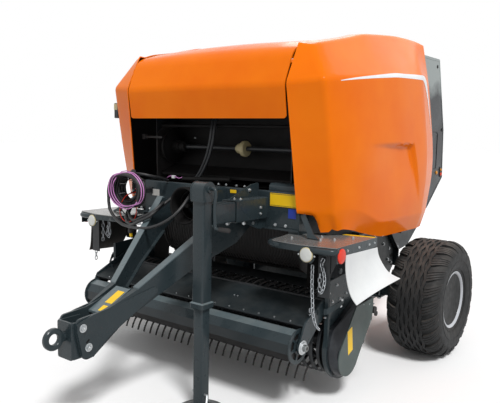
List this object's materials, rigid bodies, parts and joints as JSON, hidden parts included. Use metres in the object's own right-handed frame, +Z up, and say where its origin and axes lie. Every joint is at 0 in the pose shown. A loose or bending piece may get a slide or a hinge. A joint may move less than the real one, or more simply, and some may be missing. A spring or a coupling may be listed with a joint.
{
  "type": "towed round baler with tined pickup",
  "caption": "Towed round baler on two wheels: orange faceted hood, side panels and tailgate around a bale chamber, slate A-frame drawbar with parking jack, tined pickup with roller windguard.",
  "frame": {"origin": "on the ground, under the middle of the machine's length and width", "axes": "+X to the machine's left, +Y to the rear, +Z up; the towing eye points along -Y"},
  "size_m": [2.604, 3.73, 2.402],
  "materials": {
    "frame_paint": "satin slate grey enamel",
    "black_paint": "satin black enamel",
    "orange_paint": "gloss orange enamel",
    "bright_steel": "zinc plated",
    "silver_paint": "silver enamel",
    "tyre_rubber": "matt black rubber",
    "flap": "smooth white sheet",
    "hose_rubber": "black hose rubber",
    "lamp_red": "red lens",
    "reflector": "white reflector"
  },
  "bodies": {
    "chassis": {"drawbar": "frame_paint", "hitch_head": "frame_paint", "cross_beam": "frame_paint", "gearbox": "frame_paint", "jack_tube": "frame_paint", "side_wall_left": "black_paint", "side_wall_right": "black_paint", "front_wall": "black_paint", "roof": "orange_paint", "axle": "frame_paint", "step_left": "frame_paint", "step_right": "frame_paint", "mudflap_left": "flap", "mudflap_right": "flap", "reflectors": "reflector", "chains": "bright_steel", "feed_fingers": "black_paint", "hose_bracket": "frame_paint", "hose_coil": "hose_rubber", "hose_loop": "hose_rubber"},
    "eye": {"towing_eye": "frame_paint"},
    "input": {"input_shaft": "bright_steel"},
    "jack": {"jack_leg": "frame_paint"},
    "spindle": {"net_spindle": "black_paint"},
    "wheel_left": {"tyre_left": "tyre_rubber", "rim_left": "silver_paint"},
    "wheel_right": {"tyre_right": "tyre_rubber", "rim_right": "silver_paint"},
    "pickup": {"pickup_frame": "frame_paint", "stripper_bands": "black_paint"},
    "reel": {"pickup_reel": "black_paint"},
    "windguard": {"windguard": "frame_paint"},
    "roller": {"guard_roller": "frame_paint"},
    "hood": {"hood": "orange_paint"},
    "panel_left": {"side_panel_left": "orange_paint"},
    "panel_right": {"side_panel_right": "orange_paint"},
    "tailgate": {"tailgate": "orange_paint", "tailgate_covers": "black_paint", "tail_lamps": "lamp_red"},
    "ram_barrel_left": {"barrel_left": "black_paint"},
    "ram_barrel_right": {"barrel_right": "black_paint"},
    "ram_rod_left": {"rod_left": "bright_steel"},
    "ram_rod_right": {"rod_right": "bright_steel"}
  },
  "joints": [
    {"name": "eye_swivel", "type": "hinge", "parent": "chassis", "child": "eye", "pos_m": [0, -1.803, 0.53], "axis": [0, 1, 0], "continuous": true},
    {"name": "input_turn", "type": "hinge", "parent": "chassis", "child": "input", "pos_m": [0, -0.703, 1.17], "axis": [0, 1, 0], "continuous": true},
    {"name": "jack_lift", "type": "slide", "parent": "chassis", "child": "jack", "axis": [0, 0, 1], "range_m": [0, 0.36]},
    {"name": "spindle_turn", "type": "hinge", "parent": "chassis", "child": "spindle", "pos_m": [0, -0.333, 1.545], "axis": [1, 0, 0], "continuous": true},
    {"name": "wheel_left_turn", "type": "hinge", "parent": "chassis", "child": "wheel_left", "pos_m": [1.1, 0.797, 0.437], "axis": [1, 0, 0], "continuous": true},
    {"name": "wheel_right_turn", "type": "hinge", "parent": "chassis", "child": "wheel_right", "pos_m": [-1.1, 0.797, 0.437], "axis": [1, 0, 0], "continuous": true},
    {"name": "pickup_lift", "type": "hinge", "parent": "chassis", "child": "pickup", "pos_m": [0, 0.197, 0.66], "axis": [-1, 0, 0], "range_deg": [-3, 6]},
    {"name": "reel_turn", "type": "hinge", "parent": "pickup", "child": "reel", "pos_m": [0, -0.363, 0.345], "axis": [1, 0, 0], "continuous": true},
    {"name": "windguard_lift", "type": "hinge", "parent": "pickup", "child": "windguard", "pos_m": [0, -0.303, 0.74], "axis": [-1, 0, 0], "range_deg": [0, 14]},
    {"name": "guard_roller_turn", "type": "hinge", "parent": "windguard", "child": "roller", "pos_m": [0, -0.795, 0.429], "axis": [1, 0, 0], "continuous": true},
    {"name": "hood_lift", "type": "hinge", "parent": "chassis", "child": "hood", "pos_m": [0, 0.237, 2.308], "axis": [-1, 0, 0], "range_deg": [0, 65]},
    {"name": "panel_left_lift", "type": "hinge", "parent": "chassis", "child": "panel_left", "pos_m": [0.714, 0.597, 2.326], "axis": [0, -1, 0], "range_deg": [0, 60]},
    {"name": "panel_right_lift", "type": "hinge", "parent": "chassis", "child": "panel_right", "pos_m": [-0.714, 0.597, 2.326], "axis": [0, 1, 0], "range_deg": [0, 60]},
    {"name": "tailgate_lift", "type": "hinge", "parent": "chassis", "child": "tailgate", "pos_m": [0, 0.925, 2.33], "axis": [1, 0, 0], "range_deg": [0, 60]},
    {"name": "ram_left_tilt", "type": "hinge", "parent": "chassis", "child": "ram_barrel_left", "pos_m": [0.8, 0.547, 1], "axis": [1, 0, 0], "range_deg": [-4, 1]},
    {"name": "ram_left_stroke", "type": "slide", "parent": "ram_barrel_left", "child": "ram_rod_left", "axis": [0, 0.5914, 0.8064], "range_m": [0, 0.615]},
    {"name": "ram_right_tilt", "type": "hinge", "parent": "chassis", "child": "ram_barrel_right", "pos_m": [-0.8, 0.547, 1], "axis": [1, 0, 0], "range_deg": [-4, 1]},
    {"name": "ram_right_stroke", "type": "slide", "parent": "ram_barrel_right", "child": "ram_rod_right", "axis": [0, 0.5914, 0.8064], "range_m": [0, 0.615]}
  ],
  "couplings": [
    {"joint": "ram_left_tilt", "follows": "tailgate_lift", "ratio": -0.047463},
    {"joint": "ram_left_stroke", "follows": "tailgate_lift", "m_per_rad": 0.57492},
    {"joint": "ram_right_tilt", "follows": "tailgate_lift", "ratio": -0.047463},
    {"joint": "ram_right_stroke", "follows": "tailgate_lift", "m_per_rad": 0.57492}
  ]
}
